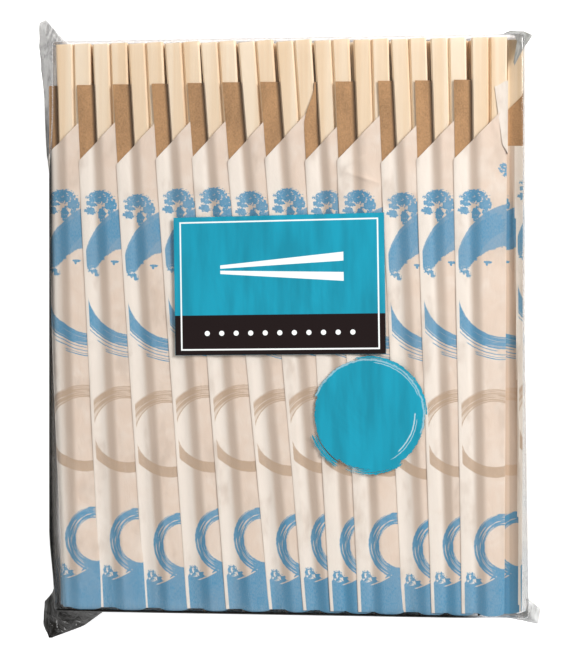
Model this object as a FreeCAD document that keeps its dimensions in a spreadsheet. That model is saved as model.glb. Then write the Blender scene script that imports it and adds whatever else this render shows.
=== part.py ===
import FreeCAD, Part
import math
import os

import Sketcher

# Retail pack of disposable wooden chopsticks, lying on its back.
# Each pair is one wooden blank: two sticks still joined at the head, parted by a slit from
# the tips and by a V groove down each face. Each blank stands in its own half-open paper
# sleeve. The sleeved pairs lie in layers inside a clear film bag, sealed at both ends.
# +X is across the pack, +Y runs from the tips to the heads, +Z goes up to the front face.

SIZES = [
    ("blank_length", 203.0, "joined pair, tip to head"),
    ("head_width", 12.6, "joined pair, across the heads"),
    ("tip_width", 9.0, "joined pair, across the tips"),
    ("blank_thickness", 4.8, "sawn thickness of the wood"),
    ("edge_bevel", 0.6, "planed bevel on the four long edges"),
    ("groove_width", 1.6, "V groove between the sticks, at the face"),
    ("groove_depth", 1.5, "V groove, below each face"),
    ("slit_width", 0.6, "saw slit that parts the sticks"),
    ("joined_length", 60.0, "wood left whole at the head"),
    ("paper_gauge", 0.1, "one ply of sleeve paper"),
    ("play", 0.05, "sleeve paper to wood, and ply to ply"),
    ("flap_width", 5.8, "flat part of the sleeve beside the pair"),
    ("rise_width", 2.0, "strip over the pair that is raised with the flap"),
    ("turned_drop", 4.4, "how far an outermost flap is turned down"),
    ("bare_head", 14.0, "wood left bare at the head, past the back ply's straight edge"),
    ("mouth_depth", 28.0, "back ply's straight edge down to the mouth at the flap"),
    ("mouth_rise", 15.0, "slanted mouth, higher at the far wall"),
    ("layers", 8, "layers in the pack, the front one included"),
    ("full_row", 13, "pairs in an even layer"),
    ("short_row", 12, "pairs in an odd layer"),
    ("head_gap", 0.1, "sleeve to sleeve in a full row, at the heads"),
    ("layer_play", 0.05, "layer to layer"),
    ("film_gauge", 0.06, "bag film"),
    ("side_play", 0.1, "bundle to film, at the sides, front and back"),
    ("end_play", 1.0, "bundle to film, at the ends"),
    ("front_radius", 1.5, "film round the long edges of the front face"),
    ("seam_width", 9.0, "end seam, folded flat on the bag's end"),
    ("ear_out", 4.4, "ear's tip, outside the bag's side"),
    ("ear_past", 8.2, "ear's tip, past the bag's end"),
]

# How the front layer's spare width is shared out: before the first pair, between each pair
# and the next, and after the last. The feet have slid to the right of the heads.
HEAD_SHARES = (8, 5, 1, 4, 1, 6, 9, 6, 11, 4, 11, 15, 60)
FOOT_SHARES = (66, 71, 69, 61, 48, 61, 30, 4, 6, 63, 10, 13, 71)

# The four ears: side (-1 left, 1 right), end (-1 foot, 1 head), and how far each one's root
# runs along the end and along the side.
EARS = [
    (-1, 1, 5.0, 52.0),
    (1, 1, 10.0, 6.0),
    (-1, -1, 22.0, 6.0),
    (1, -1, 9.0, 5.0),
]

# Sizes worked out from the sheet, as expressions.
WALL = "(sizes.play + sizes.paper_gauge)"
HEAD_SLOT = f"(sizes.head_width + 2 * {WALL})"
FOOT_SLOT = f"(sizes.tip_width + 2 * {WALL})"
ROW = f"(sizes.full_row * {HEAD_SLOT} + (sizes.full_row - 1) * sizes.head_gap)"
HANG = "(sizes.play + 2 * sizes.paper_gauge)"
ROW_LEFT = f"({HANG} - {ROW}) / 2"
POCKET_TOP = f"(sizes.blank_thickness + {WALL})"
FLAP_FOOT = f"({POCKET_TOP} + sizes.play)"
FLAP_TOP = f"({FLAP_FOOT} + 2 * sizes.paper_gauge)"
LAYER = f"({FLAP_TOP} + {WALL} + sizes.layer_play)"
INSIDE_WIDTH = f"({ROW} + {HANG} + 2 * sizes.side_play)"
INSIDE_HEIGHT = f"(sizes.layers * {LAYER} - sizes.layer_play + 2 * sizes.side_play)"
INSIDE_LENGTH = f"(sizes.blank_length + {WALL} + 2 * sizes.end_play)"
HEAD_LINE = f"({INSIDE_LENGTH} / 2 - sizes.end_play)"
TAPER = "((sizes.head_width - sizes.tip_width) / sizes.blank_length)"
BACK_REACH = "(sizes.blank_length - sizes.bare_head)"
FRONT_REACH = f"({BACK_REACH} - sizes.mouth_depth)"
FULL_WIDTH = (f"(sizes.tip_width + {TAPER} * {FRONT_REACH} + sizes.flap_width"
              f" + {WALL})")

doc = FreeCAD.newDocument("chopstick_pack")


def fill_sheet():
    """Write the driving dimensions, one to a row: name, value, note."""
    sheet = doc.addObject("Spreadsheet::Sheet", "sizes")
    for row, (name, value, note) in enumerate(SIZES, start=1):
        sheet.set(f"A{row}", name)
        sheet.set(f"B{row}", str(value))
        sheet.set(f"C{row}", note)
        sheet.setAlias(f"B{row}", name)
    doc.recompute()


def origin_part(body, role):
    """The body's own origin plane or axis with this role."""
    return next(f for f in body.Origin.OriginFeatures if f.Role == role)


def new_body(label):
    body = doc.addObject("PartDesign::Body", label)
    body.Label = label
    return body


def plane_sketch(body, name, role, lift="0"):
    """An empty sketch on an origin plane, raised along the plane's normal."""
    sketch = body.newObject("Sketcher::SketchObject", name)
    sketch.AttachmentSupport = [(origin_part(body, role), "")]
    sketch.MapMode = "FlatFace"
    sketch.setExpression(".AttachmentOffset.Base.z", lift)
    return sketch


def add_outline(sketch, corners):
    """A closed outline of straight lines. Each corner is a pair of expressions."""
    spots = [FreeCAD.Vector(*map(sketch.evalExpression, corner), 0) for corner in corners]
    first = sketch.GeometryCount
    for start, end in zip(spots, spots[1:] + spots[:1]):
        sketch.addGeometry(Part.LineSegment(start, end))
    for number, (spot, corner) in enumerate(zip(spots, corners)):
        line = first + number
        before = first + (number - 1) % len(corners)
        sketch.addConstraint(Sketcher.Constraint("Coincident", before, 2, line, 1))
        pin_point(sketch, line, 1, spot, corner)


def pin_point(sketch, line, end, spot, corner):
    """Tie one end of a line to the sketch's origin by two bound distances."""
    for kind, value, expression in zip(("DistanceX", "DistanceY"), spot, corner):
        pin = sketch.addConstraint(Sketcher.Constraint(kind, -1, 1, line, end, value))
        sketch.setExpression(f"Constraints[{pin}]", expression)


def outline_sketch(body, name, role, corners, lift="0"):
    sketch = plane_sketch(body, name, role, lift)
    add_outline(sketch, corners)
    return sketch


def pad(body, name, sketch, length, middle=False):
    feature = body.newObject("PartDesign::Pad", name)
    feature.Profile = sketch
    feature.Midplane = middle
    feature.setExpression("Length", length)
    return feature


def cut_through(body, name, sketch):
    """Pocket both ways through everything."""
    feature = body.newObject("PartDesign::Pocket", name)
    feature.Profile = sketch
    feature.Type = "ThroughAll"
    feature.Midplane = True
    return feature


def cut_down(body, name, sketch, depth):
    """Pocket against the sketch plane's normal."""
    feature = body.newObject("PartDesign::Pocket", name)
    feature.Profile = sketch
    feature.setExpression("Length", depth)
    return feature


def repeat(body, name, axis, pitch, count):
    """Repeat the whole body in a straight row, as separate solids."""
    doc.recompute()
    pattern = body.newObject("PartDesign::LinearPattern", name)
    pattern.TransformMode = "Whole shape"
    pattern.Direction = (origin_part(body, axis), [""])
    pattern.Mode = "Spacing"
    pattern.setExpression("Offset", pitch)
    pattern.setExpression("Occurrences", count)
    body.Tip = pattern


def set_down(body, across, along, up, lean="0"):
    """Bind the body's place: its tip end's middle, and how far it leans to the left."""
    body.setExpression("Placement.Base.x", across)
    body.setExpression("Placement.Base.y", along)
    body.setExpression("Placement.Base.z", up)
    body.setExpression("Placement.Rotation.Angle", lean)


# Chopsticks


def model_blank(body):
    """One joined pair: tapered plan, bevelled edges, V grooves, and the slit from the tips."""
    plan = outline_sketch(body, "plan", "XY_Plane", [
        ("-sizes.tip_width / 2", "0"),
        ("sizes.tip_width / 2", "0"),
        ("sizes.head_width / 2", "sizes.blank_length"),
        ("-sizes.head_width / 2", "sizes.blank_length"),
    ])
    plank = pad(body, "plank", plan, "sizes.blank_thickness")
    doc.recompute()
    bevels = body.newObject("PartDesign::Chamfer", "bevels")
    bevels.Base = (plank, long_edges(plank))
    bevels.setExpression("Size", "sizes.edge_bevel")
    grooves = plane_sketch(body, "groove_section", "XZ_Plane")
    for face, floor in (
        ("sizes.blank_thickness", "sizes.blank_thickness - sizes.groove_depth"),
        ("0", "sizes.groove_depth"),
    ):
        add_outline(grooves, [
            ("-sizes.groove_width / 2", face),
            ("sizes.groove_width / 2", face),
            ("0", floor),
        ])
    cut_through(body, "grooves", grooves)
    slit = outline_sketch(body, "slit_plan", "XY_Plane", [
        ("-sizes.slit_width / 2", "-sizes.slit_width"),
        ("sizes.slit_width / 2", "-sizes.slit_width"),
        ("sizes.slit_width / 2", "sizes.blank_length - sizes.joined_length"),
        ("-sizes.slit_width / 2", "sizes.blank_length - sizes.joined_length"),
    ])
    body.Tip = cut_through(body, "slit", slit)


def long_edges(plank):
    """Names of the plank's edges that run from tip to head."""
    longest = max(edge.Length for edge in plank.Shape.Edges)
    return [
        f"Edge{number}"
        for number, edge in enumerate(plank.Shape.Edges, start=1)
        if edge.Length > longest / 2
    ]


# Paper sleeves


def beside(side, extra="0"):
    """A line beside the pair: so far outside its left (-1) or right (1) edge."""
    return lambda station: f"{side} * ((sizes.tip_width + {TAPER} * {station}) / 2 + {extra})"


def strip_plan(body, name, left, right, foot, head, lift):
    """Plan of a strip between two lines beside the pair, from one station to another."""
    return outline_sketch(body, name, "XY_Plane", [
        (left(foot), foot),
        (right(foot), foot),
        (right(head), head),
        (left(head), head),
    ], lift)


def paper_strip(body, name, left, right, low, high):
    """Paper as long as the back ply, between two lines and two levels."""
    plan = strip_plan(body, f"{name}_plan", left, right, f"(-{WALL})", BACK_REACH, low)
    return pad(body, name, plan, f"{high} - {low}")


def space_strip(body, name, left, right, low, high):
    """Space for the wood: stops one ply short of the foot, and is open at the head."""
    plan = strip_plan(body, f"{name}_plan", left, right, "(-sizes.play)", BACK_REACH,
                      high)
    return cut_down(body, name, plan, f"{high} - {low}")


def model_pocket(body):
    """The pocket round the pair, one ply all round, closed at the foot."""
    paper_strip(body, "pocket", beside(-1, WALL), beside(1, WALL), f"(-{WALL})", POCKET_TOP)


def model_flat_sleeve(body):
    """A sleeve whose flap lies flat to the left, clear above the neighbouring pair."""
    model_pocket(body)
    lifted = beside(-1, "(-sizes.rise_width)")
    paper_strip(body, "rise", beside(-1, WALL), lifted, f"(-{WALL})", FLAP_TOP)
    paper_strip(body, "flap", beside(-1, "sizes.flap_width"), beside(-1), FLAP_FOOT, FLAP_TOP)
    space_strip(body, "space", beside(-1, "sizes.play"), beside(1, "sizes.play"),
                "(-sizes.play)", f"({POCKET_TOP} - sizes.paper_gauge)")
    under_rise = beside(-1, "(sizes.paper_gauge - sizes.rise_width)")
    space_strip(body, "rise_space", beside(-1, "sizes.play"), under_rise,
                "(-sizes.play)", f"({FLAP_TOP} - sizes.paper_gauge)")
    cut_mouth(body, FLAP_TOP)
    notch = outline_sketch(body, "flap_mouth_plan", "XY_Plane", [
        (beside(-1, "sizes.flap_width")(FRONT_REACH), FRONT_REACH),
        (beside(-1, "sizes.play")(mouth_at("sizes.flap_width")), mouth_at("sizes.flap_width")),
        (beside(-1, "sizes.play")(BACK_REACH), BACK_REACH),
        (beside(-1, "sizes.flap_width")(BACK_REACH), BACK_REACH),
    ], FLAP_TOP)
    body.Tip = cut_down(body, "flap_mouth", notch, "sizes.paper_gauge")


def model_turned_sleeve(body):
    """An outermost sleeve, whose flap is turned down along the pack's side."""
    model_pocket(body)
    folded = beside(-1, f"({WALL} + {HANG})")
    hem = beside(-1, f"({WALL} + sizes.play)")
    paper_strip(body, "fold", folded, beside(-1),
                f"({POCKET_TOP} - 2 * sizes.paper_gauge)", POCKET_TOP)
    paper_strip(body, "flap", folded, hem, f"({POCKET_TOP} - sizes.turned_drop)", POCKET_TOP)
    space_strip(body, "space", beside(-1, "sizes.play"), beside(1, "sizes.play"),
                "(-sizes.play)", f"({POCKET_TOP} - sizes.paper_gauge)")
    cut_mouth(body, POCKET_TOP)
    between = beside(-1, f"({WALL} + {HANG} - sizes.paper_gauge)")
    for name, left, right, depth in (
        ("flap_mouth", folded, between, "sizes.turned_drop"),
        ("fold_mouth", between, beside(-1, "sizes.play"), "sizes.paper_gauge"),
    ):
        notch = strip_plan(body, f"{name}_plan", left, right, mouth_at("sizes.flap_width"),
                           BACK_REACH, POCKET_TOP)
        body.Tip = cut_down(body, name, notch, depth)


def cut_mouth(body, top):
    """Cut the slanted mouth through the front ply and the far wall, down to the back ply."""
    right = beside(1, WALL)
    left = beside(-1, "sizes.play")
    mouth = outline_sketch(body, "mouth_plan", "XY_Plane", [
        (left(mouth_at("sizes.flap_width")), mouth_at("sizes.flap_width")),
        (right(mouth_at(FULL_WIDTH)), mouth_at(FULL_WIDTH)),
        (right(BACK_REACH), BACK_REACH),
        (left(BACK_REACH), BACK_REACH),
    ], top)
    cut_down(body, "mouth", mouth, f"{top} + sizes.play")


def mouth_at(run):
    """Station of the slanted mouth, this far in from the flap's folded edge."""
    return f"({FRONT_REACH} + sizes.mouth_rise * {run} / {FULL_WIDTH})"


# The bundle


def level(layer):
    """Height of the wood's back face in a layer, counted from the front."""
    return f"sizes.film_gauge + sizes.side_play + {WALL} + (sizes.layers - {layer}) * {LAYER}"


def share_out(number, slot, shares):
    """Middle of a front pair at one end, from the row's left."""
    spare = f"({ROW} - sizes.short_row * {slot})"
    part = f"{sum(shares[:number])} / {sum(shares)}"
    return f"({ROW_LEFT} + {slot} * ({number} - 0.5) + {spare} * {part})"


def front_layer():
    """The front layer, pair by pair, each leaning a little differently."""
    for number in range(1, len(HEAD_SHARES)):
        head = share_out(number, HEAD_SLOT, HEAD_SHARES)
        foot = share_out(number, FOOT_SLOT, FOOT_SHARES)
        lean = f"asin(({foot} - {head}) / sizes.blank_length)"
        place = (foot, f"{HEAD_LINE} - sizes.blank_length * cos({lean})", level(1), lean)
        pair = new_body(f"front_chopsticks_{number:02d}")
        model_blank(pair)
        set_down(pair, *place)
        sleeve = new_body(f"front_sleeve_{number:02d}")
        if number == 1:
            model_turned_sleeve(sleeve)
        else:
            model_flat_sleeve(sleeve)
        set_down(sleeve, *place)


def hidden_layers():
    """The layers below: straight rows of the same blanks and sleeves."""
    first = f"{ROW_LEFT} + {HEAD_SLOT} / 2"
    foot_line = f"{HEAD_LINE} - sizes.blank_length"
    for layer in range(2, int(doc.sizes.layers) + 1):
        count = "sizes.short_row" if layer % 2 else "sizes.full_row"
        pitch = f"({ROW} - {HEAD_SLOT}) / ({count} - 1)"
        pairs = new_body(f"chopsticks_layer_{layer}")
        model_blank(pairs)
        repeat(pairs, "row", "X_Axis", pitch, count)
        set_down(pairs, first, foot_line, level(layer))
        sleeves = new_body(f"sleeves_layer_{layer}")
        model_flat_sleeve(sleeves)
        repeat(sleeves, "row", "X_Axis", pitch, f"{count} - 1")
        set_down(sleeves, f"{first} + {pitch}", foot_line, level(layer))
    turned = new_body("left_edge_sleeves")
    model_turned_sleeve(turned)
    repeat(turned, "stack", "Z_Axis", LAYER, "sizes.layers - 1")
    set_down(turned, first, foot_line, level("sizes.layers"))


# Film bag


def film_section(body, name, side, floor, roof, radius, lift):
    """Section of the film tube: square below, rounded along the front face's two edges."""
    sketch = plane_sketch(body, name, "XZ_Plane", lift)
    spring = f"{roof} - {radius}"
    shoulder = f"{side} - {radius}"
    corners = [
        ("-" + side, floor), (side, floor), (side, spring),
        (shoulder, roof), ("-(" + shoulder + ")", roof), ("-" + side, spring),
    ]
    spots = [FreeCAD.Vector(*map(sketch.evalExpression, corner), 0) for corner in corners]
    r = sketch.evalExpression(radius)
    right = FreeCAD.Vector(spots[3].x, spots[2].y, 0)
    left = FreeCAD.Vector(spots[4].x, spots[5].y, 0)
    up = FreeCAD.Vector(0, 0, 1)
    quarter = math.pi / 2
    sketch.addGeometry(Part.LineSegment(spots[0], spots[1]))
    sketch.addGeometry(Part.LineSegment(spots[1], spots[2]))
    sketch.addGeometry(Part.ArcOfCircle(Part.Circle(right, up, r), 0, quarter))
    sketch.addGeometry(Part.LineSegment(spots[3], spots[4]))
    sketch.addGeometry(Part.ArcOfCircle(Part.Circle(left, up, r), quarter, 2 * quarter))
    sketch.addGeometry(Part.LineSegment(spots[5], spots[0]))
    sketch.addConstraint(Sketcher.Constraint("Coincident", 0, 2, 1, 1))
    sketch.addConstraint(Sketcher.Constraint("Coincident", 5, 2, 0, 1))
    for line, line_end, arc, arc_end in ((1, 2, 2, 1), (3, 1, 2, 2), (3, 2, 4, 1), (5, 1, 4, 2)):
        sketch.addConstraint(Sketcher.Constraint("Tangent", line, line_end, arc, arc_end))
    for line in (1, 5):
        sketch.addConstraint(Sketcher.Constraint("Vertical", line))
    sketch.addConstraint(Sketcher.Constraint("Horizontal", 3))
    pin_point(sketch, 0, 1, spots[0], corners[0])
    pin_point(sketch, 0, 2, spots[1], corners[1])
    pin = sketch.addConstraint(Sketcher.Constraint("DistanceY", -1, 1, 3, 1, spots[3].y))
    sketch.setExpression(f"Constraints[{pin}]", roof)
    for arc in (2, 4):
        pin = sketch.addConstraint(Sketcher.Constraint("Radius", arc, r))
        sketch.setExpression(f"Constraints[{pin}]", radius)
    return sketch


def film_bag():
    """Tube of film round the bundle, sealed at both ends, with an ear at each corner."""
    bag = new_body("film_bag")
    side = f"({INSIDE_WIDTH} / 2 + sizes.film_gauge)"
    end = f"({INSIDE_LENGTH} / 2 + sizes.film_gauge)"
    roof = f"({INSIDE_HEIGHT} + 2 * sizes.film_gauge)"
    middle = f"{roof} / 2"
    outside = film_section(bag, "tube_section", side, "0", roof, "sizes.front_radius", f"-{end}")
    pad(bag, "tube", outside, f"2 * {end}")
    for where, lift in (("foot", f"{end} + 2 * sizes.film_gauge"), ("head", f"-{end}")):
        seam = outline_sketch(bag, f"{where}_seam_plan", "XZ_Plane", [
            ("-" + side, middle), (side, middle),
            (side, f"{middle} + sizes.seam_width"), ("-" + side, f"{middle} + sizes.seam_width"),
        ], lift)
        strip = pad(bag, f"{where}_seam", seam, "2 * sizes.film_gauge")
        strip.Reversed = True
    plan = plane_sketch(bag, "ear_plan", "XY_Plane", middle)
    for across, along, end_root, side_root in EARS:
        add_outline(plan, [
            (f"{across} * {side}", f"{along} * {end}"),
            (f"{across} * ({side} - {end_root})", f"{along} * {end}"),
            (f"{across} * ({side} + sizes.ear_out)", f"{along} * ({end} + sizes.ear_past)"),
            (f"{across} * {side}", f"{along} * ({end} - {side_root})"),
        ])
    pad(bag, "ears", plan, "2 * sizes.film_gauge", middle=True)
    inside = film_section(
        bag, "space_section", f"({INSIDE_WIDTH} / 2)", "sizes.film_gauge",
        f"({INSIDE_HEIGHT} + sizes.film_gauge)", "(sizes.front_radius - sizes.film_gauge)",
        f"-{INSIDE_LENGTH} / 2")
    space = cut_down(bag, "space", inside, INSIDE_LENGTH)
    space.Reversed = True
    bag.Tip = space


def check_and_write():
    """Stop on any failed feature or bad shape, then write one STEP file to a sub-part."""
    doc.recompute()
    failed = [o.Name for o in doc.Objects if "Invalid" in o.State or "Error" in o.State]
    if failed:
        raise RuntimeError(f"failed features: {failed}")
    bodies = [o for o in doc.Objects if o.TypeId == "PartDesign::Body"]
    for body in bodies:
        if body.Shape.isNull() or not body.Shape.isValid():
            raise RuntimeError(f"bad shape: {body.Label}")
    os.makedirs("parts", exist_ok=True)
    for body in bodies:
        body.Shape.exportStep(f"parts/{body.Label}.step")


fill_sheet()
front_layer()
hidden_layers()
film_bag()
check_and_write()
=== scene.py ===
"""Looks of a retail pack of paper-sleeved disposable chopsticks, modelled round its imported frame."""

import math

import bpy
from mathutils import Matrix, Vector, noise


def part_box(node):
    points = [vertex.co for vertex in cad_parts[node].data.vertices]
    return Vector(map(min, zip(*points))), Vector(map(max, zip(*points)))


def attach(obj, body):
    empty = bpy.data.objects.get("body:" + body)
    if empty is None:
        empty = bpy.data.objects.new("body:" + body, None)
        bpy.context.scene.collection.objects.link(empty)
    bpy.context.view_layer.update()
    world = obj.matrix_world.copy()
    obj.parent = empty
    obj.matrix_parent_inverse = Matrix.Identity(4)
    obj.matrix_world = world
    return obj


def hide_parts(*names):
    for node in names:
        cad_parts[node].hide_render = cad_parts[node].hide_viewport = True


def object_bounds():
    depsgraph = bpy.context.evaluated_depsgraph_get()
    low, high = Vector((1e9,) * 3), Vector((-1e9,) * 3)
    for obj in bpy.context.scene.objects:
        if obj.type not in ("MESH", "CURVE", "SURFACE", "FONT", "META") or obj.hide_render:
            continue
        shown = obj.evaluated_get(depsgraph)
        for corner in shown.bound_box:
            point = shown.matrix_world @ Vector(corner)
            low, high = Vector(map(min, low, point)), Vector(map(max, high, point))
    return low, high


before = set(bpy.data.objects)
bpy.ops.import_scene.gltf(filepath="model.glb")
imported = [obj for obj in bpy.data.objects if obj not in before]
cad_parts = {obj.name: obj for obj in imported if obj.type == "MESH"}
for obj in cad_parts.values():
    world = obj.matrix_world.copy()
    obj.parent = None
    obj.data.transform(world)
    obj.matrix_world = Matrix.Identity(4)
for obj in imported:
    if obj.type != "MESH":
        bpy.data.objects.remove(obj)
CAD_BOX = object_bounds()

bl_info = {
    "name": "Sleeved Chopstick Pack",
    "version": (1, 0, 0),
    "blender": (4, 5, 0),
    "location": "View3D > Sidebar > Chopsticks",
    "description": "Planed pairs, printed paper sleeves and a clear film bag for a pack of chopsticks",
    "category": "Add Mesh",
}

MM = 0.001
PER_MM = (1 / MM, 1 / MM, 1 / MM)
BODY = "root"
FRONT_PAIRS = 12
FULL_ROW = 13
HIDDEN_LAYERS = range(2, 9)


# ---------------------------------------------------------------- settings


def ink(red, green, blue):
    """A colour for a shader from everyday values of 0 to 255."""
    def linear(value):
        share = value / 255
        return share / 12.92 if share <= 0.04045 else ((share + 0.055) / 1.055) ** 2.4
    return (linear(red), linear(green), linear(blue), 1.0)


def colour(name, description, value):
    return bpy.props.FloatVectorProperty(
        name=name, description=description, size=4, subtype="COLOR", min=0.0, max=1.0, default=value)


def length(name, description, millimetres):
    return bpy.props.FloatProperty(
        name=name, description=description, unit="LENGTH", subtype="DISTANCE",
        default=millimetres * MM, precision=5)


def flat_place(name, description, across, up):
    """Two lengths, across and up the pack."""
    return bpy.props.FloatVectorProperty(
        name=name, description=description, size=2, subtype="XYZ", unit="LENGTH",
        default=(across * MM, up * MM))


def turning(name, description, degrees):
    return bpy.props.FloatProperty(
        name=name, description=description, subtype="ANGLE", default=math.radians(degrees))


def number(name, description, value, **kind):
    return bpy.props.FloatProperty(name=name, description=description, default=value, **kind)


class WoodSettings(bpy.types.PropertyGroup):
    """Planed, unfinished white wood."""

    pale: colour("Pale grain", "Colour of the early wood", ink(249, 230, 203))
    deep: colour("Deep grain", "Colour of the late wood", ink(236, 206, 168))
    end: colour("End grain", "Colour of the sawn ends", ink(224, 190, 150))


class PaperSettings(bpy.types.PropertyGroup):
    """Thin sleeve paper, white outside and brown inside."""

    gauge: length("Gauge", "Thickness of one ply", 0.1)
    close: length("Clearance", "From the wood to the middle of the ply round it", 0.1)
    back_reach: length("Back ply", "From the closed foot to the top of the back ply", 189)
    front_reach: length("Front ply", "From the foot to the low corner of the mouth", 161)
    mouth_slope: number("Mouth slope", "Rise of the mouth for each millimetre across", 1.08)
    reach: length("Flap", "Width of the empty part of a sleeve, beside its pair", 5.9)
    climb: length("Climb", "How far over its own pair the front ply goes on rising", 3.4)
    puff: length("Puff", "Height of the front ply above its own pair", 0.5)
    turn: length("Foot turn", "Paper that closes the foot, from the crimp to the front", 2.6)
    outside: colour("Outside", "Colour of the bare outer face", ink(243, 232, 219))
    warm: colour("Over wood", "Colour where wood shows through", ink(232, 211, 192))
    # Painted shade: this colour is laid where the paper dips beside its pair, at its tucked edge, and over
    # the whole shaded flank strip.
    shade: colour("In the dip", "Colour where it dips beside the pair", ink(204, 184, 166))
    inside: colour("Inside", "Colour of the brown inner face", ink(196, 152, 108))


class PrintSettings(bpy.types.PropertyGroup):
    """The traditional brush rings, leaves and band printed on a sleeve."""

    blue: colour("Blue", "Rings, leaves and foot band", ink(77, 150, 187))
    beige: colour("Beige", "Middle ring", ink(196, 169, 143))
    margin: length("Margin", "Bare edge along the fold", 1.3)
    band: length("Foot band", "Height of the blue band", 13.4)


class FilmSettings(bpy.types.PropertyGroup):
    """Clear bag film with a printed label and badge."""

    gauge: length("Gauge", "Thickness of the film", 0.06)
    rise: length("Rise", "Film above the flaps of the front sleeves", 1.3)
    corner: length("Edge radius", "Rounding of the film round the bundle", 1.8)
    seam: length("End seam", "Height of the crimped seam folded flat on each end", 9.0)
    label_centre: flat_place("Label centre", "Middle of the printed label", -2.1, 14.4)
    label_size: flat_place("Label size", "Width and height of the label", 75.2, 49.6)
    label_turn: turning("Label turn", "How far the label sits off square", 0.8)
    badge_centre: flat_place("Badge centre", "Middle of the round badge", 29.6, -31.7)
    badge_radius: length("Badge radius", "Radius of the round badge", 19.9)
    teal: colour("Teal", "Label and badge ground", ink(20, 148, 174))
    dark: colour("Dark band", "Lower band of the label", ink(20, 6, 6))
    pale: colour("Pale ink", "Lines and signs on the label", ink(236, 240, 238))


class StageSettings(bpy.types.PropertyGroup):
    """Floor, light and camera."""

    lens: number("Lens", "Focal length", 85.0, subtype="DISTANCE_CAMERA")
    height: length("Camera height", "Camera above the front of the pack", 546.5)
    aim: flat_place("Aim", "Point of the pack below the camera", 2.4, 0.15)
    turn: turning("Camera turn", "How far the camera stands to the right of straight above", 5.0)
    floor: colour("Floor", "Colour of the pale floor", (0.95, 0.95, 0.95, 1.0))
    key: number("Key light", "Power of the large light", 23.0, unit="POWER")
    fill: number("Fill light", "Power of the fill light", 3.0, unit="POWER")


# ---------------------------------------------------------------- shader nodes


class Field:
    """A value, place or colour that varies over a material, reckoned with like a plain number."""

    def __init__(self, recipe, socket):
        self.recipe, self.socket = recipe, socket

    def maths(self, operation, *values):
        return self.recipe.field("Math", self, *values, operation=operation)

    def __add__(self, other):
        return self.maths("ADD", other)

    def __sub__(self, other):
        return self.maths("SUBTRACT", other)

    def __rsub__(self, other):
        return self.recipe.field("Math", other, self, operation="SUBTRACT")

    def __mul__(self, other):
        return self.maths("MULTIPLY", other)

    def __abs__(self):
        return self.maths("ABSOLUTE")

    __radd__ = __add__
    __rmul__ = __mul__


class Recipe:
    """A material under construction."""

    def __init__(self, name):
        self.material = bpy.data.materials.new(name)
        self.material.use_nodes = True
        self.tree = self.material.node_tree
        self.tree.nodes.clear()

    def put(self, socket, value):
        """Link a field to a socket, or set the socket to a plain value."""
        if isinstance(value, Field):
            self.tree.links.new(value.socket, socket)
        else:
            socket.default_value = value

    def node(self, kind, *values, **choices):
        """A new node with these choices, its first sockets linked or set to the values."""
        node = self.tree.nodes.new("ShaderNode" + kind)
        for name, choice in choices.items():
            setattr(node, name, choice)
        for socket, value in zip(node.inputs, values):
            self.put(socket, value)
        return node

    def field(self, kind, *values, **choices):
        """What comes out of such a node."""
        return Field(self, self.node(kind, *values, **choices).outputs[0])

    def named(self, kind, output, *values):
        """One output of a node that has several."""
        return Field(self, self.node(kind, *values).outputs[output])

    def object_place(self):
        return self.named("TexCoord", "Object")

    def clear(self, tint):
        """A see-through shader that tints what lies behind it."""
        return self.field("BsdfTransparent", tint)

    def principled(self, base, roughness, normal=None, **sockets):
        node = self.node("BsdfPrincipled", base)
        self.put(node.inputs["Roughness"], roughness)
        if normal is not None:
            self.put(node.inputs["Normal"], normal)
        for name, value in sockets.items():
            node.inputs[name.replace("_", " ")].default_value = value
        return Field(self, node.outputs[0])

    def blend(self, share, first, second):
        return self.field("MixShader", share, first, second)

    def finish(self, shader):
        self.node("OutputMaterial", shader)
        return self.material


def most(first, *others):
    for other in others:
        first = first.maths("MAXIMUM", other)
    return first


def least(first, second):
    return first.maths("MINIMUM", second)


def ramp(value, low, high):
    """0 below low and 1 above high, smooth between; the other way round if low is higher."""
    ends = (0.0, 1.0) if low < high else (1.0, 0.0)
    return value.recipe.field(
        "MapRange", value, min(low, high), max(low, high), *ends, interpolation_type="SMOOTHSTEP")


def vector(x, y, z=0.0):
    return x.recipe.field("CombineXYZ", x, y, z)


def parts(place):
    """The three coordinates of a place."""
    node = place.recipe.node("SeparateXYZ", place)
    return [Field(place.recipe, socket) for socket in node.outputs]


def scaled(place, scale):
    """Coordinates multiplied by a scale for each axis."""
    return place.recipe.field("VectorMath", place, scale, operation="MULTIPLY")


def about(place, centre, angle):
    """Coordinates measured from a centre and turned by an angle."""
    return place.recipe.field("Mapping", place, (*centre, 0.0), (0.0, 0.0, angle), vector_type="TEXTURE")


def from_centre(place, centre, tall=1.0):
    """Ways across and up from a centre, and the distance to it; tall stretches the way up."""
    across, along = parts(place)[:2]
    du = across - centre[0]
    dv = (along - centre[1]) * (1 / tall)
    return du, dv, (du * du + dv * dv).maths("SQRT")


def speckle(place, scale, detail=2.0, roughness=0.5, distortion=0.0):
    """Soft noise from about 0.25 to 0.75."""
    node = place.recipe.node("TexNoise", place)
    node.inputs["Scale"].default_value = scale
    node.inputs["Detail"].default_value = detail
    node.inputs["Roughness"].default_value = roughness
    node.inputs["Distortion"].default_value = distortion
    return Field(place.recipe, node.outputs[0])


def mix(share, first, second):
    """The first colour where the share is 0, the second where it is 1."""
    node = share.recipe.node("Mix", share, data_type="RGBA")
    share.recipe.put(node.inputs[6], first)
    share.recipe.put(node.inputs[7], second)
    return Field(share.recipe, node.outputs[2])


def bump(height, strength, distance):
    node = height.recipe.node("Bump")
    node.inputs["Strength"].default_value = strength
    node.inputs["Distance"].default_value = distance
    height.recipe.put(node.inputs["Height"], height)
    return Field(height.recipe, node.outputs[0])


def darker(tone, share):
    """A tone with this share of its light."""
    return tuple(share * value for value in tone[:3]) + (1.0,)


# ---------------------------------------------------------------- mesh helpers


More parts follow.
